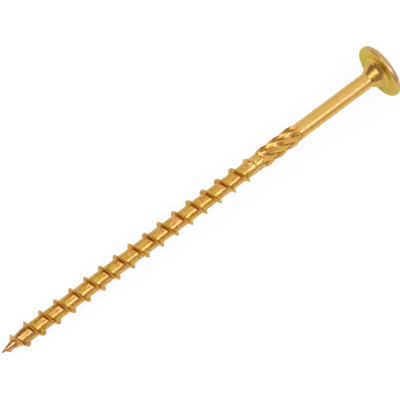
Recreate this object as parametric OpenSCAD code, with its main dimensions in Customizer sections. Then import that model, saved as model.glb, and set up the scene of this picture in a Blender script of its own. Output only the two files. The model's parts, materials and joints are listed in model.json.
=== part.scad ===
// Construction screw: a washer head with a star drive, a plain shank, a reamer with
// twisted ribs, and a coarse right-hand wood thread that runs out to a sharp tip.
// It is one piece of steel. Each stretch is drawn along the screw's own axis, which is Z
// here with the tip at 0, and the whole screw is then laid down on its head's rim and
// its thread, with its axis over X and the ground at z = 0. Sizes are in millimetres.

/* [Length] */
// Length from the tip to the underside of the head
length = 160; // [140:1:240]
// Length from the tip to the end of the thread
thread_len = 105.8; // [85:0.1:120]
// Plain stretch between the thread and the reamer
reamer_gap = 2; // [1:0.1:6]
// Length of the reamer
reamer_len = 16.7; // [8:0.1:25]
// Length of the pointed tip
tip_len = 10.1; // [7:0.1:13]

/* [Diameters] */
// Outside diameter of the thread
thread_d = 8; // [6.8:0.1:9]
// Diameter of the core between the ridges of the thread
core_d = 5.28; // [4.6:0.02:5.6]
// Diameter of the plain shank
shank_d = 5.74; // [5.6:0.02:6.2]
// Outside diameter over the reamer's ribs
reamer_d = 6.86; // [6.4:0.02:7.6]
// Diameter at the bottom of the reamer's grooves
groove_d = 5.1; // [4.6:0.1:5.6]

/* [Thread] */
// Distance from one ridge to the next along the screw
pitch = 6.13; // [5:0.01:7]
// Width of a ridge at its crest
ridge_crest = 0.44; // [0.2:0.02:0.7]
// Width of the slanting flank on the side of the tip
lead_flank = 0.62; // [0.4:0.02:1]
// Width of the steeper flank on the side of the head
load_flank = 0.3; // [0.2:0.02:0.8]
// Distance from the tip to the ridge, on the side that the screw lies on
first_ridge = 4.03; // [2.5:0.01:6]
// Distance from the tip to where the ridge begins
ridge_begin = 1; // [0.5:0.1:2]
// Distance from the tip to where the ridge has its full height
ridge_full = 5.5; // [4:0.1:8]
// Length over which the ridge runs out towards the reamer
ridge_runout = 5; // [2:0.1:9]
// Fullness of the tip: 1 is a straight cone and more is rounder
tip_curve = 1.4; // [1:0.05:2]

/* [Reamer] */
// Number of ribs
rib_count = 6; // [4, 6]
// Length along the screw in which a rib makes one turn
rib_lead = 32.5; // [24:0.1:45]
// Angle of the first rib where the reamer begins
rib_turn = 11.8; // [-30:0.1:30]
// Length of the ramp at each end of the ribs
rib_ramp = 0.9; // [0.6:0.1:3]
// Share of the spacing in which a rib falls from its edge to the bottom of the groove
rib_fall = 0.33; // [0.25:0.01:0.5]

/* [Head] */
// Diameter of the head
head_d = 20.4; // [17:0.1:24]
// Thickness of the head at its rim
rim_t = 2.15; // [1.8:0.05:2.6]
// Radius of the rim's lower edge
rim_edge = 0.75; // [0.3:0.05:0.9]
// Radius of the rim's upper edge
rim_round = 0.9; // [0.3:0.05:0.9]
// Length of the flared neck under the head, with its collar
neck_len = 4.45; // [3.6:0.05:6]
// Diameter at the wide end of the neck's cone
neck_d = 9.94; // [8:0.02:11]
// Length of the steeper collar between the neck's cone and the head
collar_len = 1.22; // [0.8:0.02:2]
// Diameter of the collar at the underside of the head
collar_d = 12.66; // [11.6:0.02:14]
// Radius of the fillet between the collar and the underside of the head
collar_fillet = 0.35; // [0.1:0.05:1]
// Height of the raised crown above the rim
crown_h = 1.05; // [0.8:0.05:2]
// Diameter of the crown's flat top
crown_d = 12; // [11:0.1:13.5]
// Width of the crown's sloping edge
crown_slope = 1.6; // [0.8:0.1:2.2]

/* [Drive] */
// Width of the star drive over its points
drive_d = 6.75; // [6.2:0.05:7.2]
// Width of the star drive between its flutes
drive_inner_d = 4.85; // [4.4:0.05:5.2]
// Radius of the flutes between the points
flute_r = 1.25; // [1:0.05:1.4]
// Depth of the star drive
drive_depth = 3.3; // [2.4:0.1:4]
// Depth of the cone at the bottom of the drive
drive_cone = 0.8; // [0.4:0.1:1.2]

/* [Hidden] */
$fn = 96;
steel_colour = [0.80, 0.62, 0.26];
drive_points = 6;
columns = 36;
column_angle = 360 / columns;
rows_per_turn = 5;
// The narrowest flanks of the ridge, as a share of their full width
least_flank = 0.3;
// Points closer than this to an end of the threaded stretch move onto that end
snap = 0.02;
// The reamer ends a little inside the shank, in width and in length
shank_step = 0.06;
shank_bury = 0.8;
// Overlap of the drive's cut with the air above the head
cut_over = 1;

core_r = core_d / 2;
thread_r = thread_d / 2;
shank_r = shank_d / 2;
head_r = head_d / 2;
crown_r = crown_d / 2;
reamer_start = thread_len + reamer_gap;
reamer_end = reamer_start + reamer_len;
rim_top = length + rim_t;
head_top = rim_top + crown_h;

// The collar rises at collar_angle from the axis, and the fillet touches it and the underside
collar_angle = atan((collar_d - neck_d) / 2 / collar_len);
fillet_reach = collar_fillet * tan((90 - collar_angle) / 2);

function clamp(t) = max(0, min(1, t));
function mix(a, b, t) = a + (b - a) * t;
function ease(t) = let (c = clamp(t)) c * c * (3 - 2 * c);

// Radius of the core at a distance z from the tip. It grows to the shank where the ridge runs out
gap_r = shank_r - shank_step;
function root_r(z) =
    mix(core_r, gap_r, ease((z - thread_len + ridge_runout) / ridge_runout))
    * (1 - pow(1 - clamp(z / tip_len), tip_curve));

// Height of the ridge at z as a share of its full height
function ridge_share(z) =
    let (growth = clamp((z - ridge_begin) / (ridge_full - ridge_begin)))
    let (fade = clamp((z - thread_len + ridge_runout) / ridge_runout))
    growth * (1 - fade * fade);
function crest_r(z) = root_r(z) + (thread_r - core_r) * ridge_share(z);

// The screw touches the ground with the rim's lower edge and with the ridge that gets there
// first when the tip is let down
rest_turns = [0:3];
function rest_z(turn) = first_ridge + pitch * turn - ridge_crest / 2;
function rest_r(turn) = crest_r(rest_z(turn)) * cos(column_angle / 2);
function tilt_on(turn) =
    let (run = length + rim_edge - rest_z(turn))
    let (rise = head_r - rim_edge - rest_r(turn))
    atan(rise / run) + asin(rim_edge / norm([run, rise]));
tilts = [for (turn = rest_turns) tilt_on(turn)];
tilt = min(tilts);
rest_turn = search(tilt, tilts)[0];
lift = rest_r(rest_turn) * cos(tilt) - rest_z(rest_turn) * sin(tilt);
reach = head_top * cos(tilt) + crown_r * sin(tilt);

// The threaded stretch is a grid whose rows follow the ridge: each turn has a row at the
// lower foot, the two edges of the crest, the upper foot and the middle of the root.
// A column meets the same row one turn later where the grid closes on itself.
turn_lo = -3;
turn_hi = ceil((thread_len - first_ridge) / pitch) + 1;
rows = rows_per_turn * (turn_hi - turn_lo + 1);

function ridge_z(column, turn) = first_ridge + pitch * (turn + (column + 0.5) / columns);
function flank_scale(z) = mix(least_flank, 1, ridge_share(z));
function row_offset(kind, z) =
    let (edge = ridge_crest / 2)
    [
        -edge - lead_flank * flank_scale(z),
        -edge,
        edge,
        edge + load_flank * flank_scale(z),
        pitch / 2
    ][kind];
function row_kind(row) = row % rows_per_turn;
function row_z(column, row) =
    let (z = ridge_z(column, turn_lo + floor(row / rows_per_turn)))
    z + row_offset(row_kind(row), z);
function on_crest(row) = row_kind(row) == 1 || row_kind(row) == 2;
function thread_radius(row, z) = on_crest(row) ? crest_r(z) : root_r(z);
function column_point(angle, r, z) = [r * cos(angle), r * sin(angle), z];
function thread_point(column, row) =
    let (z = row_z(column, row))
    column_point((column + 0.5) * column_angle, thread_radius(row, z), z);

// The plain gap and the reamer are level rings that turn with the ribs
gap_rings = 5;
reamer_rings = 26;
ring_zs = concat(
    [for (k = [0:gap_rings - 1]) mix(thread_len, reamer_start, k / gap_rings)],
    [for (k = [0:reamer_rings]) mix(reamer_start, reamer_end, k / reamer_rings)],
    [reamer_end + shank_bury]
);
rings = len(ring_zs);

function rib_angle(z) =
    z < reamer_start
        ? rib_turn * (z - thread_len) / reamer_gap
        : rib_turn + 360 * (z - reamer_start) / rib_lead;
// The ribs are like saw teeth: a steep hollow fall behind each edge, then a long climb to the next
function rib_height(share) =
    share < rib_fall
        ? pow(1 - share / rib_fall, 1.5)
        : pow((share - rib_fall) / (1 - rib_fall), 1.2);
function rib_r(column) =
    mix(groove_d, reamer_d, rib_height((column * rib_count / columns) % 1)) / 2;
function rib_share(z) =
    ease((z - reamer_start) / rib_ramp) * ease((reamer_end - z) / rib_ramp);
function ring_point(column, z) =
    column_point(
        (column + 0.5) * column_angle + rib_angle(z),
        mix(gap_r, rib_r(column), rib_share(z)),
        z
    );

// Numbers of the points: the tip, the rings, the end's centre, then the thread's rows
function ring_id(column, ring) = 1 + ring * columns + column % columns;
end_id = 1 + rings * columns;
function thread_id(column, row) =
    column == columns ? thread_id(0, row + rows_per_turn)
    : row >= rows ? ring_id(column, 0)
    : row_z(column, row) > thread_len - snap ? ring_id(column, 0)
    : row_z(column, row) < snap ? 0
    : end_id + 1 + row * columns + column;

function distinct(t) = t[0] != t[1] && t[1] != t[2] && t[2] != t[0];
function patch(a, b, c, d) = [for (t = [[a, b, c], [a, c, d]]) if (distinct(t)) t];

module threaded_end() {
    points = concat(
        [[0, 0, 0]],
        [for (z = ring_zs) for (column = [0:columns - 1]) ring_point(column, z)],
        [[0, 0, ring_zs[rings - 1]]],
        [for (row = [0:rows - 1]) for (column = [0:columns - 1]) thread_point(column, row)]
    );
    thread_faces = [
        for (row = [0:rows - 1]) for (column = [0:columns - 1])
            each patch(
                thread_id(column, row),
                thread_id(column, row + 1),
                thread_id(column + 1, row + 1),
                thread_id(column + 1, row)
            )
    ];
    ring_faces = [
        for (ring = [0:rings - 2]) for (column = [0:columns - 1])
            each patch(
                ring_id(column, ring),
                ring_id(column, ring + 1),
                ring_id(column + 1, ring + 1),
                ring_id(column + 1, ring)
            )
    ];
    end_faces = [
        for (column = [0:columns - 1])
            [end_id, ring_id(column + 1, rings - 1), ring_id(column, rings - 1)]
    ];
    polyhedron(points, concat(thread_faces, ring_faces, end_faces));
}

// Half section of the fillet that joins the collar to the underside of the head
module collar_fillet_section() {
    corner = [collar_d / 2, length];
    difference() {
        polygon([
            corner - fillet_reach * [sin(collar_angle), cos(collar_angle)],
            corner + [fillet_reach, 0],
            corner
        ]);
        translate(corner + [fillet_reach, -collar_fillet])
            circle(collar_fillet);
    }
}

// Half section of the head's flat rim with its rounded edges
module rim_section() {
    lower = [head_r - rim_edge, length + rim_edge];
    upper = [head_r - rim_round, rim_top - rim_round];
    polygon([
        [0, length],
        [lower.x, length],
        lower,
        [head_r, lower.y],
        [head_r, upper.y],
        upper,
        [upper.x, rim_top],
        [0, rim_top]
    ]);
    translate(lower)
        circle(rim_edge);
    translate(upper)
        circle(rim_round);
}

// Half section of the shank, the neck, the rim and the crown
module upper_section() {
    polygon([
        [0, reamer_end],
        [shank_r, reamer_end],
        [shank_r, length - neck_len],
        [neck_d / 2, length - collar_len],
        [collar_d / 2, length],
        [0, length]
    ]);
    collar_fillet_section();
    rim_section();
    polygon([
        [0, rim_top],
        [crown_r + crown_slope, rim_top],
        [crown_r, head_top],
        [0, head_top]
    ]);
}

// The hollow of the star drive, open at the top of the head
module drive_hollow() {
    translate([0, 0, head_top - drive_depth])
        linear_extrude(drive_depth + cut_over)
            difference() {
                circle(d = drive_d);
                for (k = [0:drive_points - 1])
                    rotate((k + 0.5) * 360 / drive_points)
                        translate([drive_inner_d / 2 + flute_r, 0])
                            circle(flute_r);
            }
    translate([0, 0, head_top - drive_depth - drive_cone])
        cylinder(h = drive_cone, d1 = 0, d2 = drive_inner_d);
}

module screw() {
    color(steel_colour)
        translate([-reach / 2, 0, lift])
            rotate([0, 90 - tilt, 0]) {
                threaded_end();
                difference() {
                    rotate_extrude()
                        upper_section();
                    drive_hollow();
                }
            }
}

screw();
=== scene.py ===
# %% [markdown]
# A construction screw, from tip to drive
#
# The object is one timber screw of yellow-plated steel: a washer head, a plain shank, a reamer with
# twisted ribs, and a coarse thread that runs out to a sharp tip. The CAD part already holds its size
# and its main forms. This notebook makes the finished surface over that same axis, gives it the
# plating, and sets up the light and the camera.

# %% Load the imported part
import json

import bpy
import numpy as np
from mathutils import Matrix, Vector


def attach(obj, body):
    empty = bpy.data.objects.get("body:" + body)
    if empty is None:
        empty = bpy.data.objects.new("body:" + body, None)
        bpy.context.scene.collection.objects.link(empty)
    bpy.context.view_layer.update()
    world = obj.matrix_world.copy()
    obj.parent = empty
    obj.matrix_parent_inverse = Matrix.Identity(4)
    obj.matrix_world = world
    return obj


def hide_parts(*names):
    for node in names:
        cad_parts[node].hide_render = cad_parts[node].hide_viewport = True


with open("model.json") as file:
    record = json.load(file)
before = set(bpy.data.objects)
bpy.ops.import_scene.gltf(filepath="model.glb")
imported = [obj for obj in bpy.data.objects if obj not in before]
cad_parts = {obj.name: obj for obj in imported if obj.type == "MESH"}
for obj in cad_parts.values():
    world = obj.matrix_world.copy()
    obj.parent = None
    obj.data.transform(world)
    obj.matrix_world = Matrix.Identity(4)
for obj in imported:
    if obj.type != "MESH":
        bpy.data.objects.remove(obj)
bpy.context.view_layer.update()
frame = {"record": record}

# %% [markdown]
# Where the screw lies
#
# The screw rests on its rim and its thread, so its axis leans a little. Its record names the centre
# of the drive on top of the head and the way that the drive points. These two give the whole axis,
# and every surface below is worked out along it, in millimetres from the tip.

# %% The screw's own axes
MM = 0.001
length = 160.0
rim_t = 2.15
crown_h = 1.05
head_top = length + rim_t + crown_h

mounts = {mount["name"]: mount for mount in frame["record"]["mounts"]}
axis = np.array(mounts["star_drive"]["axis"])
axis = axis / np.linalg.norm(axis)
across = np.array([0.0, 1.0, 0.0])
down = np.cross(across, axis)
tip = np.array(mounts["star_drive"]["pos_m"]) - head_top * MM * axis
tilt = np.arcsin(axis[2])


def in_place(angle, radius, along):
    """Points of the screw in metres: tip + along times the axis + radius times the direction at an
    angle that starts on the lower side and turns right-handed about the axis."""
    out = np.cos(angle)[..., None] * down + np.sin(angle)[..., None] * across
    return tip + MM * (along[..., None] * axis + radius[..., None] * out)


print("axis leans", round(float(np.degrees(tilt)), 2), "degrees; tip at", np.round(tip, 4))

# %% [markdown]
# One skin for the whole screw
#
# A modeller might join a swept thread to a lathe-turned head with booleans, which leaves ragged
# edges where the two meet. Here the skin is one grid instead. Its columns go round the axis, and its
# rows go from the tip to the bottom of the drive. Rows of the thread climb with the ridge, so the
# crest is a clean edge loop, and the rows of the reamer turn with its ribs. Three small blends do
# all the easing and rounding between the forms.

# %% Columns and blends
columns = 132
column_angles = (np.arange(columns) + 0.5) * 2 * np.pi / columns


def mix(low, high, share):
    """Straight blend: low + (high - low) times share."""
    return low + (high - low) * share


def ease(share):
    """Blend weight that starts and ends gently: 3s^2 - 2s^3 with s held between 0 and 1."""
    s = np.clip(share, 0, 1)
    return s * s * (3 - 2 * s)


def soft_floor(value, level, width):
    """The larger of value and level, with a parabola of the given width in the corner."""
    gap = np.clip(width - np.abs(value - level), 0, None) / width
    return np.maximum(value, level) + gap * gap * width / 4


print("columns:", columns, "of", round(360 / columns, 2), "degrees")

# %% [markdown]
# The thread
#
# The thread takes most care. It is rolled between dies, so its ridge has a narrow crest with rounded
# edges and slightly hollow flanks. It leans like a saw tooth: the flank on the tip's side slants,
# and the one on the head's side, which carries the load, is steep. A section swept along a helix
# would need extra work at both ends. Here the ridge is a height on top of the core, so its growth
# out of the tip and its fade before the reamer are two more formulas.

# %% Core and ridge of the thread
thread_len = 105.8
tip_len = 10.1
tip_curve = 1.4
core_r = 2.64
shank_r = 2.87
crest_r = 3.985
pitch = 6.13
first_ridge = 4.03
ridge_begin = 1.0
ridge_full = 5.5
ridge_runout = 5.0
crest_half = 0.17
crest_round = 0.25
lead_flank = 0.8
load_flank = 0.46
flank_curve = 1.35
lead_foot = -crest_half - lead_flank
load_foot = crest_half + load_flank


def root_radius(z):
    """Core radius: core_r times 1 - (1 - z / tip_len)^tip_curve, which is nearly a cone at the tip
    and eases into the core, and a gentle growth to the shank's radius where the thread runs out."""
    grown = mix(core_r, shank_r, ease((z - thread_len + ridge_runout) / ridge_runout))
    return grown * (1 - (1 - np.clip(z / tip_len, 0, 1)) ** tip_curve)


def ridge_share(z):
    """Height of the ridge as a share of full: a straight growth at the tip and a parabolic fade."""
    growth = np.clip((z - ridge_begin) / (ridge_full - ridge_begin), 0, 1)
    fade = np.clip((z - thread_len + ridge_runout) / ridge_runout, 0, 1)
    return growth * (1 - fade * fade)


def ridge_section(offset):
    """Height share at an offset from the ridge's middle: 1 on the crest, and (1 - d)^flank_curve on
    the flanks, with d from 0 at the crest's edge to 1 at the foot, and its corner at 0 rounded."""
    on_flank = np.maximum((-offset - crest_half) / lead_flank, (offset - crest_half) / load_flank)
    return (1 - np.clip(soft_floor(on_flank, 0.0, crest_round), 0, 1)) ** flank_curve


print("ridge:", round(load_foot - lead_foot, 2), "mm wide at its foot, every", pitch, "mm")

# %% [markdown]
# Rows that climb with the ridge
#
# Each turn has the same set of rows, close together at the crest and at the feet and wider apart on
# the core. A row's place along the screw grows with the angle, by one pitch a turn. Between two
# ridges the core is rolled slightly hollow, so it rises a little before each foot and catches a
# patch of light there.

# %% Rows of the thread
flank_rows = np.array([0.0, 0.07, 0.17, 0.3, 0.47, 0.7, 1.0])
root_rows = np.array([0.06, 0.14, 0.25, 0.5, 0.75, 0.86, 0.94])
root_hollow = 0.08
hollow_power = 4
least_foot = 0.35
spare_turns = 3

turn_offsets = np.concatenate([
    mix(lead_foot, -crest_half, 1 - flank_rows[::-1]),
    [0.0],
    mix(crest_half, load_foot, flank_rows),
    mix(load_foot, pitch + lead_foot, root_rows),
])
turn_shares = ridge_section(turn_offsets)
root_place = np.clip((turn_offsets - load_foot) / (pitch + lead_foot - load_foot), 0, 1)
turn_rise = root_hollow * (2 * root_place - 1) ** hollow_power * (1 - turn_shares)
rows_per_turn = len(turn_offsets)
turns = np.arange(-spare_turns, int(np.ceil((thread_len - first_ridge) / pitch)) + 2)

row_turn = np.repeat(turns, rows_per_turn)
row_offset = np.tile(turn_offsets, len(turns))
row_height = np.tile((crest_r - core_r) * turn_shares + turn_rise, len(turns))
ridge_middle = first_ridge + pitch * (row_turn[:, None] + column_angles / (2 * np.pi))
foot_scale = mix(least_foot, 1, ridge_share(ridge_middle))
on_ridge = row_offset[:, None] <= load_foot
thread_z = ridge_middle + row_offset[:, None] * np.where(on_ridge, foot_scale, 1)
thread_r = root_radius(thread_z) + row_height[:, None] * ridge_share(thread_z)
thread_angle = np.repeat(column_angles[None, :], len(row_turn), axis=0)
print("thread:", len(turns), "turns of", rows_per_turn, "rows")

# %% [markdown]
# The reamer
#
# Between the thread and the shank, a short cutter widens the hole so that the shank turns freely.
# It has six ribs that twist like a rope. Behind each sharp edge a hollow face falls into a groove,
# and a straighter face climbs to the next edge. Twisted booleans would cut the grooves one by one.
# Here the section is one row of radii, and every ring of the reamer repeats it, turned a little
# further.

# %% Rings of the plain gap and the reamer
reamer_gap = 2.0
reamer_len = 16.7
reamer_start = thread_len + reamer_gap
reamer_end = reamer_start + reamer_len
rib_r = 3.43
groove_r = 2.55
rib_count = 6
rib_lead = 32.5
first_rib = np.radians(15.4)
rib_fall = 0.45
fall_power = 1.25
climb_power = 1.2
rib_ramp = 0.9
gap_ring_count = 8
reamer_ring_count = 84


def rib_profile(share):
    """Height share over one rib spacing: behind the sharp edge a hollow fall, (1 - s / rib_fall) to
    fall_power, and then a face that climbs with the rest of s to climb_power."""
    fall = np.clip(1 - share / rib_fall, 0, 1) ** fall_power
    climb = np.clip((share - rib_fall) / (1 - rib_fall), 0, 1) ** climb_power
    return np.maximum(fall, climb)


gap_z = np.linspace(thread_len, reamer_start, gap_ring_count, endpoint=False)
reamer_z = np.linspace(reamer_start, reamer_end, reamer_ring_count)
ring_z = np.concatenate([gap_z, reamer_z])
ring_twist = np.where(
    ring_z < reamer_start,
    first_rib * (ring_z - thread_len) / reamer_gap,
    first_rib + 2 * np.pi * (ring_z - reamer_start) / rib_lead,
)
rib_share = ease((ring_z - reamer_start) / rib_ramp) * ease((reamer_end - ring_z) / rib_ramp)
rib_place = (np.arange(columns) * rib_count / columns) % 1
rib_radius = mix(groove_r, rib_r, rib_profile(rib_place))
ring_r = mix(shank_r, rib_radius[None, :], rib_share[:, None])
ring_angle = column_angles[None, :] + ring_twist[:, None]
print("reamer:", len(ring_z), "rings that turn", round(float(np.degrees(np.ptp(ring_twist)))), "degrees")

# %% [markdown]
# Shank, neck and head
#
# From here up everything is turned, so one half section is enough. The neck flares in two steps, a
# long cone and a short collar, and a small fillet leads the collar into the flat ring that presses
# on the timber. The rim's edges are rounded, and the top is a low crown. The section is a list of
# corners, and one helper rounds each corner with an arc. The flat ring gets rows of its own, so that
# a painted shadow can lie along its inner edge.

# %% Half section from the shank to the crown
neck_len = 4.45
neck_r = 4.97
collar_len = 1.22
collar_r = 6.33
head_r = 10.2
crown_r = 6.0
crown_slope = 1.6
drive_r = 3.375
drive_lead_in = 0.25
drive_land = 1.5
shank_gap = 0.3
neck_blend = 0.3
collar_blend = 0.25
collar_fillet = 0.35
rim_edge = 0.75
rim_round = 0.9
crown_foot = 0.5
crown_round = 0.35
arc_points = 6
ring_row_count = 12
rim_top = length + rim_t


def rounded(corners, radii):
    """Half section through corner points (radius from the axis, distance along it), where each
    corner is an arc that touches both of its sides: its centre lies on the line that halves the
    corner, at radius / sin of half the corner's angle."""
    to_last = corners[:-2] - corners[1:-1]
    to_next = corners[2:] - corners[1:-1]
    to_last = to_last / np.linalg.norm(to_last, axis=1, keepdims=True)
    to_next = to_next / np.linalg.norm(to_next, axis=1, keepdims=True)
    half_angle = np.arccos(np.clip((to_last * to_next).sum(axis=1), -1, 1))[:, None] / 2
    inward = to_last + to_next
    inward = inward / np.linalg.norm(inward, axis=1, keepdims=True)
    centre = corners[1:-1] + radii[:, None] / np.sin(half_angle) * inward
    start = corners[1:-1] + radii[:, None] / np.tan(half_angle) * to_last - centre
    end = corners[1:-1] + radii[:, None] / np.tan(half_angle) * to_next - centre
    cross = start[:, 0] * end[:, 1] - start[:, 1] * end[:, 0]
    sweep = np.arctan2(cross, (start * end).sum(axis=1))
    steps = (sweep[:, None] * np.linspace(0, 1, arc_points))[..., None]
    square = np.stack([-start[:, 1], start[:, 0]], axis=1)
    arcs = centre[:, None] + np.cos(steps) * start[:, None] + np.sin(steps) * square[:, None]
    return np.concatenate([corners[:1], arcs.reshape(-1, 2), corners[-1:]])


section_corners = np.array([
    [shank_r, reamer_end + shank_gap],
    [shank_r, length - neck_len],
    [neck_r, length - collar_len],
    [collar_r, length],
    [head_r, length],
    [head_r, rim_top],
    [crown_r + crown_slope, rim_top],
    [crown_r, head_top],
    [drive_r + drive_lead_in + drive_land, head_top],
])
corner_radii = np.array([
    neck_blend, collar_blend, collar_fillet, rim_edge, rim_round, crown_foot, crown_round,
])
section = rounded(section_corners, corner_radii)
ring_start = np.flatnonzero(np.isclose(section[:, 1], length))[0] + 1
ring_rows = np.linspace(*section[ring_start - 1:ring_start + 1], ring_row_count)[1:-1]
section = np.insert(section, ring_start, ring_rows, axis=0)
print("half section:", len(section), "points, head", 2 * head_r, "mm across")

# %% [markdown]
# The star drive
#
# The drive is hidden from the camera, but a part on a shelf is seen from all sides. Its outline is a
# circle with six round flutes bitten out of it. Seen from the axis, each direction meets the outline
# once, so it can be one more row of the same grid, and no boolean cut is needed.

# %% Rows of the drive
drive_inner_r = 2.425
flute_r = 1.25
flute_corner = 0.25
flute_count = 6
drive_depth = 3.3
drive_cone = 0.8
wall_row_count = 10
cone_shares = np.array([0.92, 0.7, 0.45, 0.2])


def star_radius(angle):
    """Distance from the axis to the star's outline: the outer circle, or the near side of the
    flute's circle where the direction meets it, with a soft corner between the two."""
    off = (angle % (2 * np.pi / flute_count)) - np.pi / flute_count
    centre = drive_inner_r + flute_r
    inside = np.clip(flute_r ** 2 - (centre * np.sin(off)) ** 2, 0, None)
    flute = centre * np.cos(off) - np.sqrt(inside)
    return -soft_floor(-flute, -drive_r, flute_corner)


top_angle = column_angles + ring_twist[-1]
star = star_radius(top_angle)[None, :]
star_r = np.concatenate([
    star + drive_lead_in,
    np.repeat(star, wall_row_count, axis=0),
    cone_shares[:, None] * star,
])
star_z = np.concatenate([
    [head_top],
    np.linspace(head_top - drive_lead_in, head_top - drive_depth, wall_row_count),
    head_top - drive_depth - drive_cone * (1 - cone_shares),
])
print("drive:", len(star_z), "rows,", round(2 * float(star.max()), 2), "mm over its points")

# %% [markdown]
# All points in one array
#
# The level rings of the reamer, the shank, the head and the drive come first, then the climbing rows
# of the thread. Two single points close the skin, one at the tip and one at the bottom of the drive.

# %% Points of the skin
upper_r = np.concatenate([np.repeat(section[:, :1], columns, axis=1), star_r])
upper_z = np.concatenate([section[:, 1], star_z])[:, None]
level_r = np.concatenate([ring_r, upper_r])
level_z = np.repeat(np.concatenate([ring_z[:, None], upper_z]), columns, axis=1)
level_angle = np.concatenate([ring_angle, np.repeat(top_angle[None, :], len(upper_z), axis=0)])
drive_bottom = tip + MM * (head_top - drive_depth - drive_cone) * axis
points = np.concatenate([
    tip[None, :],
    drive_bottom[None, :],
    in_place(level_angle, level_r, level_z).reshape(-1, 3),
    in_place(thread_angle, thread_r, thread_z).reshape(-1, 3),
])
print("points before joining:", len(points))

# %% [markdown]
# Joining the rows
#
# In the thread, a row that has passed the end of its stretch is folded onto the tip or onto the
# first ring, and the triangles that shrink to nothing are left out. The last column joins the first
# one a turn further on, which is what makes it a screw.

# %% Triangles of the skin
snap = 0.02
level_ids = 2 + np.arange(level_z.size).reshape(level_z.shape)
thread_ids = 2 + level_z.size + np.arange(thread_z.size).reshape(thread_z.shape)
thread_ids = np.where(thread_z > thread_len - snap, level_ids[0], thread_ids)
thread_ids = np.where(thread_z < snap, 0, thread_ids)
over_end = np.repeat(level_ids[:1, :1], rows_per_turn, axis=0)
next_turn = np.concatenate([thread_ids[rows_per_turn:, :1], over_end])
thread_grid = np.concatenate([thread_ids, next_turn], axis=1)
level_grid = np.concatenate([level_ids, level_ids[:, :1]], axis=1)
bottom_grid = np.stack([level_grid[-1], np.ones_like(level_grid[-1])])


def grid_triangles(ids):
    """Two outward triangles for each cell of a grid of point numbers, without the collapsed ones."""
    low_left, low_right = ids[:-1, :-1], ids[:-1, 1:]
    up_left, up_right = ids[1:, :-1], ids[1:, 1:]
    first = np.stack([low_left, low_right, up_right], axis=-1).reshape(-1, 3)
    second = np.stack([low_left, up_right, up_left], axis=-1).reshape(-1, 3)
    both = np.concatenate([first, second])
    whole = (both != np.roll(both, 1, axis=1)).all(axis=1)
    return both[whole]


triangles = np.concatenate([grid_triangles(ids) for ids in (thread_grid, level_grid, bottom_grid)])
used, triangles = np.unique(triangles, return_inverse=True)
triangles = triangles.reshape(-1, 3)
print("triangles:", len(triangles), "over", len(used), "points")

# %% Mesh and object
crease_angle = np.radians(38)
skin = bpy.data.meshes.new("screw_skin")
skin.vertices.add(len(used))
skin.vertices.foreach_set("co", points[used].astype(np.float32).ravel())
skin.loops.add(triangles.size)
skin.loops.foreach_set("vertex_index", triangles.astype(np.int32).ravel())
skin.polygons.add(len(triangles))
skin.polygons.foreach_set("loop_start", np.arange(0, triangles.size, 3, dtype=np.int32))
skin.update(calc_edges=True)
skin.validate()
skin.polygons.foreach_set("use_smooth", np.ones(len(skin.polygons), dtype=bool))
skin.set_sharp_from_angle(angle=crease_angle)
screw = bpy.data.objects.new("screw_skin", skin)
bpy.context.scene.collection.objects.link(screw)
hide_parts("screw")
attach(screw, "root")
print("skin:", len(skin.vertices), "points,", len(skin.polygons), "triangles")

# %% [markdown]
# Painted shade and marks of the plating
#
# Shade is painted into corners: a dark band at the foot of the ridge on the tip's side, dark streaks
# in the reamer's grooves, and a painted shadow round the collar under the head. The bare root of the
# thread is more olive. A texture can't know where those places are, but the rows do, so the skin
# carries them as attributes. A third one gives each point its place on the unrolled wire, so that
# streaks can run along the shank.

# %% Painted shade, olive and flow of the skin
# The first nine numbers place painted shade: at the ridge's foot, in the reamer's grooves and round the
# collar.
shade_offset = 0.66
shade_width = 0.27
scoop_shade = 1.5
scoop_middle = 0.42
scoop_width = 0.13
collar_shade = 0.6
collar_shade_reach = 0.9
collar_shade_edge = 0.13
under_side = 0.01
olive_most = 0.45
olive_offset = 1.5
olive_width = 0.9
drawn_out = 0.1


def hump(value, middle, width):
    """Bell curve: e to the power of minus ((value - middle) / width) squared."""
    return np.exp(-((value - middle) / width) ** 2)


def flow(radius, along, stretch):
    """Place on the unrolled wire: radius times the column's cosine and sine across it, and the
    distance along it times stretch, so that a noise over a small stretch makes long streaks."""
    sides = (np.cos(column_angles), np.sin(column_angles))
    return MM * np.stack([radius * sides[0], radius * sides[1], along * stretch], axis=-1)


# Painted shade: a dark band on the tip's side of each ridge, near its foot.
thread_shade = hump(row_offset, -shade_offset, shade_width)[:, None] * ridge_share(thread_z)
# Painted shade: dark streaks in the hollow fall behind each rib's edge.
ring_shade = scoop_shade * rib_share[:, None] * hump(rib_place, scoop_middle, scoop_width)[None, :]
# Painted shadow of the collar on the flat ring under the head, fading outwards.
from_collar = upper_r - collar_r
under_head = ease(from_collar / collar_shade_edge) * (upper_z < length + under_side)
upper_shade = collar_shade * under_head * ease(1 - from_collar / collar_shade_reach)
thread_olive = olive_most * hump(row_offset, olive_offset, olive_width)[:, None] * ridge_share(thread_z)

marks = {
    "painted_shade": np.concatenate([[0, 0], ring_shade.ravel(), upper_shade.ravel(), thread_shade.ravel()]),
    "olive": np.concatenate([np.zeros(2 + level_z.size), thread_olive.ravel()]),
}
for name, values in marks.items():
    layer = skin.attributes.new(name, "FLOAT", "POINT")
    layer.data.foreach_set("value", values[used].astype(np.float32))
wire_places = np.concatenate([
    np.zeros((2, 3)),
    flow(level_r, level_z, stretch=drawn_out).reshape(-1, 3),
    flow(thread_r, thread_z, stretch=1.0).reshape(-1, 3),
])
layer = skin.attributes.new("flow", "FLOAT_VECTOR", "POINT")
layer.data.foreach_set("vector", wire_places[used].astype(np.float32).ravel())
print("attributes:", [name for name in skin.attributes.keys() if name in (*marks, "flow")])

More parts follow.
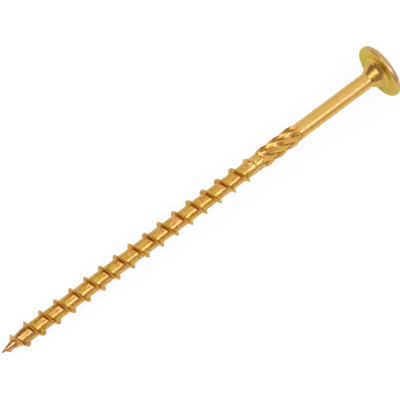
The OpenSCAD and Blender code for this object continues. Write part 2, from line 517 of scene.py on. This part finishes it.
# %% [markdown]
# Yellow zinc plating
#
# The steel is zinc plated and then dipped in chromate, which leaves a thin film. It is a metal, so
# the shader is fully metallic with a golden base colour. The nodes are wired in code, and a few
# helpers keep each wire to one readable line.

# %% Node helpers
plating = bpy.data.materials.new("yellow_zinc")
plating.use_nodes = True
tree = plating.node_tree
tree.nodes.clear()


def node(kind, **inputs):
    """Adds a node to the current tree and sets the named input sockets."""
    made = tree.nodes.new(kind)
    for name, value in inputs.items():
        made.inputs[name.replace("_", " ")].default_value = value
    return made


def wire(source, output, target, socket):
    """Links an output socket to an input socket by name or number."""
    tree.links.new(source.outputs[output], target.inputs[socket])


def ramp(source, output, stops):
    """Colour ramp over a number between 0 and 1. A stop is a spot with a colour or a grey."""
    made = node("ShaderNodeValToRGB")
    elements = made.color_ramp.elements
    while len(elements) < len(stops):
        elements.new(0.5)
    for element, (spot, colour) in zip(elements, stops):
        element.position = spot
        element.color = (*np.broadcast_to(colour, 3), 1.0)
    wire(source, output, made, "Fac")
    return made


# A Mix node has its own sockets for each data type. These are the ones for colours.
mix_first, mix_second, mix_result = 6, 7, 2


def mixed(blend_type, base, weight=None):
    """Colour Mix node over a base colour output, by a weight output or in full."""
    made = node("ShaderNodeMix", Factor=1.0)
    made.data_type = "RGBA"
    made.blend_type = blend_type
    tree.links.new(base, made.inputs[mix_first])
    if weight is not None:
        tree.links.new(weight, made.inputs["Factor"])
    return made


def multiply(first, second, weight=None):
    """Product of two colour outputs, or a blend towards it by a weight output."""
    made = mixed("MULTIPLY", first, weight)
    tree.links.new(second, made.inputs[mix_second])
    return made.outputs[mix_result]


def paint(first, colour, weight):
    """Blend from a colour output to a fixed colour by a weight output."""
    made = mixed("MIX", first, weight)
    made.inputs[mix_second].default_value = (*colour, 1.0)
    return made.outputs[mix_result]


def attribute(name):
    """Reads an attribute of the skin."""
    made = node("ShaderNodeAttribute")
    made.attribute_name = name
    return made


print("material:", plating.name)

# %% Shader and places on the screw
surface = node("ShaderNodeOutputMaterial")
shader = node("ShaderNodeBsdfPrincipled", Metallic=1.0)
wire(shader, "BSDF", surface, "Surface")

place = node("ShaderNodeTexCoord")
turned = node("ShaderNodeMapping", Rotation=(0.0, tilt, 0.0))
wire(place, "Object", turned, "Vector")
split = node("ShaderNodeSeparateXYZ")
wire(turned, "Vector", split, "Vector")
along = node("ShaderNodeMapRange", From_Min=float(tip[0]), From_Max=float(tip[0] + head_top * MM))
wire(split, "X", along, "Value")


def noise(scale, detail, stretch=(1.0, 1.0, 1.0)):
    """Noise over the screw, with the pattern stretched along the screw's own axes."""
    fitted = node("ShaderNodeMapping", Scale=stretch)
    wire(turned, "Vector", fitted, "Vector")
    made = node("ShaderNodeTexNoise", Scale=scale, Detail=detail)
    wire(fitted, "Vector", made, "Vector")
    return made


print("plating is mapped along", round(head_top, 2), "mm")

# %% [markdown]
# Colour along the screw
#
# The film takes a different tint on each form: dull at the tip, orange on the rolled thread, pale
# gold on the drawn shank, brown on the neck and olive under the head. A ramp along the axis holds
# these tints. Seen at a glancing angle the film turns greener, which the shader's edge tint gives.

# %% Tints from the tip to the head
tints = ramp(along, "Result", [
    (0.0, (0.38, 0.28, 0.19)),
    (0.014, (0.63, 0.37, 0.18)),
    (0.04, (0.76, 0.44, 0.17)),
    (0.06, (0.56, 0.29, 0.08)),
    (0.09, (0.68, 0.37, 0.08)),
    (0.63, (0.69, 0.38, 0.08)),
    (0.645, (0.80, 0.52, 0.16)),
    (0.66, (0.74, 0.46, 0.12)),
    (0.67, (0.73, 0.42, 0.09)),
    (0.755, (0.73, 0.42, 0.095)),
    (0.77, (0.76, 0.46, 0.115)),
    (0.95, (0.74, 0.45, 0.12)),
    (0.965, (0.64, 0.39, 0.085)),
    (0.978, (0.62, 0.375, 0.095)),
    (0.981, (0.77, 0.49, 0.075)),
    (0.984, (0.64, 0.40, 0.15)),
])
edge_tint = ramp(along, "Result", [(0.94, (1.0, 1.0, 0.65)), (0.96, (0.85, 1.0, 0.5))])
wire(edge_tint, "Color", shader, "Specular Tint")
print("tints:", len(tints.color_ramp.elements))

# %% [markdown]
# Film, streaks and painted shade
#
# The film is never even: it drifts between olive and copper over a few millimetres, more on the
# rolled thread than on the smooth shank, so one ramp along the screw weighs these changes. Streaks
# follow the unrolled wire, dark specks are pits in the zinc, and painted shade follows the marks above.

# %% Colour of the plating
olive_colour = (0.60, 0.44, 0.045)
# Dark brown of the painted shade.
painted_shade_colour = (0.26, 0.12, 0.03)
white = (1.0, 1.0, 1.0)

rolled = ramp(along, "Result", [(0.765, 0.9), (0.772, 0.3)]).outputs["Color"]
cloudy = ramp(noise(scale=800.0, detail=3.0), "Fac", [(0.4, 0.6), (0.6, 1.0)])
greened = multiply(cloudy.outputs["Color"], attribute("olive").outputs["Color"])
colour = paint(tints.outputs["Color"], olive_colour, greened)

film = ramp(noise(scale=800.0, detail=4.0, stretch=(0.7, 1.0, 1.0)), "Fac", [
    (0.30, (0.94, 1.10, 0.4)),
    (0.45, white),
    (0.58, (1.03, 0.86, 0.9)),
    (0.68, (1.16, 1.22, 2.6)),
])
colour = multiply(colour, film.outputs["Color"], rolled)

streaks = node("ShaderNodeTexNoise", Scale=900.0, Detail=3.0)
wire(attribute("flow"), "Vector", streaks, "Vector")
drawn = ramp(streaks, "Fac", [(0.36, (0.82, 0.72, 0.55)), (0.5, white), (0.68, (1.05, 1.06, 1.2))])
colour = multiply(colour, drawn.outputs["Color"], rolled)

pits = noise(scale=1500.0, detail=2.0)
specks = ramp(pits, "Fac", [(0.30, (0.45, 0.30, 0.22)), (0.37, white)])
colour = multiply(colour, specks.outputs["Color"], rolled)

# Painted shade: the marks from the skin, broken up by noise, darken the base colour towards dark brown.
patchy = ramp(noise(scale=900.0, detail=3.0), "Fac", [(0.42, 0.1), (0.6, 0.8)])
shade_weight = multiply(patchy.outputs["Color"], attribute("painted_shade").outputs["Color"])
colour = paint(colour, painted_shade_colour, shade_weight)
tree.links.new(colour, shader.inputs["Base Color"])
print("colour nodes:", len(tree.nodes))

# %% [markdown]
# Gloss and grain
#
# Bright zinc is glossy, but not a mirror: its roughness drifts from place to place, and the drawn
# shank and the rim are duller than the rest, so their highlights are softer. The same streaks that
# colour the wire also lift it by a few hundredths of a millimetre, which breaks the highlights up.

# %% Roughness and bump
streak_height = 0.00012
sheen = ramp(noise(scale=900.0, detail=4.0), "Fac", [(0.35, 0.15), (0.65, 0.27)])
dullness = ramp(along, "Result", [
    (0.765, 1.0), (0.772, 1.5), (0.945, 1.5), (0.955, 1.0), (0.982, 1.0), (0.988, 1.6),
])
dulled = multiply(sheen.outputs["Color"], dullness.outputs["Color"])
tree.links.new(dulled, shader.inputs["Roughness"])
bump = node("ShaderNodeBump", Distance=streak_height)
tree.links.new(rolled, bump.inputs["Strength"])
wire(streaks, "Fac", bump, "Height")
wire(bump, "Normal", shader, "Normal")
skin.materials.append(plating)
print("plating nodes:", len(tree.nodes))

# %% [markdown]
# The camera
#
# The photograph looks steeply down on the screw from the side of its tip, from close by. These
# values come from fitting a camera to the outlines of the ridges, the shank and the head. A camera
# in Blender looks along its own -Z, so its axes are the columns right, up and back.

# %% Camera
photo_px = 400
focal_px = 905.0
view_azimuth = np.radians(-37.14)
view_elevation = np.radians(74.88)
view_distance = 307.5
aim_along = 83.23
aim_right = -0.814
aim_up = 1.091
sensor_mm = 36.0
near_clip = 0.01

back = np.array([
    np.sin(view_azimuth) * np.cos(view_elevation),
    -np.cos(view_azimuth) * np.cos(view_elevation),
    np.sin(view_elevation),
])
right = np.array([np.cos(view_azimuth), np.sin(view_azimuth), 0.0])
up = np.cross(back, right)
aim = tip + MM * (aim_along * axis + aim_right * right + aim_up * up)
camera_data = bpy.data.cameras.new("camera")
camera_data.sensor_width = sensor_mm
camera_data.lens = sensor_mm * focal_px / photo_px
camera_data.clip_start = near_clip
camera = bpy.data.objects.new("camera", camera_data)
camera_turn = Matrix((right, up, back)).transposed().to_4x4()
camera.matrix_world = Matrix.Translation(Vector(aim + MM * view_distance * back)) @ camera_turn
bpy.context.scene.collection.objects.link(camera)
bpy.context.scene.camera = camera
bpy.context.scene.view_settings.view_transform = "Standard"
camera_place = np.round(np.array(camera.matrix_world.translation), 3)
print("camera at", camera_place, "with a lens of", round(camera_data.lens, 1), "mm")

# %% [markdown]
# The floor
#
# The screw lies on plain white paper. Under soft light the paper alone would render pale grey, so
# most of what the camera sees of it is an even white, and the rest is real paper that keeps the
# shadow. Rays that the metal mirrors get part of that white too. All other rays meet plain paper.

# %% Floor
floor_half = 3.0
paper_white = (0.9, 0.9, 0.9, 1.0)
camera_white = 0.92
mirrored_white = 0.25

floor_mesh = bpy.data.meshes.new("floor")
floor_corners = floor_half * np.array([[-1, -1, 0], [1, -1, 0], [1, 1, 0], [-1, 1, 0]])
floor_mesh.from_pydata(floor_corners.tolist(), [], [(0, 1, 2, 3)])
floor = bpy.data.objects.new("floor", floor_mesh)
bpy.context.scene.collection.objects.link(floor)
paper = bpy.data.materials.new("white_paper")
paper.use_nodes = True
tree = paper.node_tree
tree.nodes.clear()
surface = node("ShaderNodeOutputMaterial")
matte = node("ShaderNodeBsdfDiffuse", Color=paper_white)
glow = node("ShaderNodeEmission", Strength=1.0)
path = node("ShaderNodeLightPath")


def math_node(operation, *inputs):
    """Math node whose inputs are numbers or output sockets."""
    made = node("ShaderNodeMath")
    made.operation = operation
    for socket, value in zip(made.inputs, inputs):
        if isinstance(value, bpy.types.NodeSocket):
            tree.links.new(value, socket)
        else:
            socket.default_value = value
    return made.outputs["Value"]


mirrored = math_node("MAXIMUM", path.outputs["Is Glossy Ray"], path.outputs["Is Transmission Ray"])
mirrored_share = math_node("MULTIPLY", mirrored, mirrored_white)
white_share = math_node("MULTIPLY_ADD", path.outputs["Is Camera Ray"], camera_white, mirrored_share)
sheet = node("ShaderNodeMixShader")
tree.links.new(white_share, sheet.inputs[0])
wire(matte, "BSDF", sheet, 1)
wire(glow, "Emission", sheet, 2)
wire(sheet, "Shader", surface, "Surface")
floor_mesh.materials.append(paper)
print("floor:", 2 * floor_half, "metres across")

# %% [markdown]
# Soft light all round
#
# A white tent gives soft light from every side, a little dimmer towards the ground. The world does
# that job: a ramp over the height of the direction that a ray leaves in.

# %% World
world = bpy.data.worlds.new("studio")
bpy.context.scene.world = world
world.use_nodes = True
tree = world.node_tree
tree.nodes.clear()
surface = node("ShaderNodeOutputWorld")
sky = node("ShaderNodeBackground", Strength=1.0)
wire(sky, "Background", surface, "Surface")
direction = node("ShaderNodeTexCoord")
split = node("ShaderNodeSeparateXYZ")
wire(direction, "Generated", split, "Vector")
tent = ramp(split, "Z", [(0.0, 0.80), (0.5, (0.90, 0.93, 1.0)), (1.0, 1.0)])
wire(tent, "Color", sky, "Color")
print("world:", world.name)

# %% [markdown]
# Lamps
#
# Shiny metal shows its surroundings, so its look comes from what there is to mirror. A long strip
# lamp beside the screw draws the bright line along the shank and the core. Two smaller lamps beyond
# the tip are mirrored only by faces that lean that way: the tip's cone, the flared neck, the ribs of
# the reamer and the rises before the ridges. Yellow metal tints what it mirrors, so two of the lamps
# are bluish, which makes their highlights pale.

# %% Lamps
strip_colour = (0.82, 1.08, 2.5)
front_colour = (0.91, 1.0, 1.5)
rise_colour = (1.0, 1.0, 1.0)


def lamp(name, azimuth, elevation, distance, size, radiance, colour):
    """A rectangular lamp that looks at the origin, with its first side level. Azimuth 0 is the side
    of the head and turns towards +Y. Its power in watts is its radiance times pi times its area."""
    turn, rise = np.radians([azimuth, elevation])
    outward = Vector((np.cos(turn) * np.cos(rise), np.sin(turn) * np.cos(rise), np.sin(rise)))
    level = Vector((-np.sin(turn), np.cos(turn), 0))
    facing = Matrix((level, outward.cross(level), outward)).transposed().to_4x4()
    data = bpy.data.lights.new(name, "AREA")
    data.shape = "RECTANGLE"
    data.size, data.size_y = size
    data.energy = radiance * np.pi * size[0] * size[1]
    data.color = colour
    made = bpy.data.objects.new(name, data)
    made.matrix_world = Matrix.Translation(outward * distance) @ facing
    bpy.context.scene.collection.objects.link(made)
    return made


lamps = [
    lamp("strip_lamp", azimuth=-95, elevation=59, distance=0.6, size=(0.6, 0.14), radiance=2.1,
         colour=strip_colour),
    lamp("front_lamp", azimuth=174, elevation=52, distance=0.7, size=(0.34, 0.38), radiance=1.15,
         colour=front_colour),
    lamp("rise_lamp", azimuth=138, elevation=60, distance=0.7, size=(0.16, 0.14), radiance=1.6,
         colour=rise_colour),
]
print("lamps:", [made.name for made in lamps])

# %% [markdown]
# Dark cards
#
# In a white tent alone the metal would look flat. A photographer stands dark cards just outside the
# picture, so that some faces mirror something darker. A card here is a curved wall round the screw.
# It is mirrored by the metal, but it casts no shadow, so the light on the object stays plain.

# %% Cards
card_distance = 0.6
card_points = 61
tip_card_heights = (0.60, 0.60, 0.42, 0.38, 0.40, 0.52, 0.52)
tip_card_colour = (0.40, 0.27, 0.18, 1.0)
side_card_heights = (0.42, 0.38, 0.32, 0.27, 0.27)
side_card_colour = (0.61, 0.49, 0.35, 1.0)


def card(name, first_azimuth, last_azimuth, heights, colour):
    """A curved wall at card_distance from the origin: its foot follows a circle from one azimuth to
    the other, and its top edge goes straight between heights at even steps."""
    angle = np.radians(np.linspace(first_azimuth, last_azimuth, card_points))
    steps = np.linspace(0, len(heights) - 1, card_points)
    top_z = np.interp(steps, np.arange(len(heights)), heights)
    ring = card_distance * np.stack([np.cos(angle), np.sin(angle)], axis=1)
    foot = np.column_stack([ring, np.zeros(card_points)])
    top = np.column_stack([ring, top_z])
    left = np.arange(card_points - 1)
    faces = np.stack([left, card_points + left, card_points + left + 1, left + 1], axis=1)
    mesh = bpy.data.meshes.new(name)
    mesh.from_pydata(np.concatenate([foot, top]).tolist(), [], faces.tolist())
    board = bpy.data.materials.new(name)
    board.use_nodes = True
    matte_board = board.node_tree.nodes["Principled BSDF"]
    matte_board.inputs["Base Color"].default_value = colour
    matte_board.inputs["Roughness"].default_value = 1.0
    mesh.materials.append(board)
    made = bpy.data.objects.new(name, mesh)
    made.visible_camera = False
    made.visible_diffuse = False
    made.visible_shadow = False
    bpy.context.scene.collection.objects.link(made)
    return made


cards = [
    card("tip_card", first_azimuth=102, last_azimuth=242, heights=tip_card_heights,
         colour=tip_card_colour),
    card("side_card", first_azimuth=242, last_azimuth=330, heights=side_card_heights,
         colour=side_card_colour),
]
print("cards:", [made.name for made in cards])
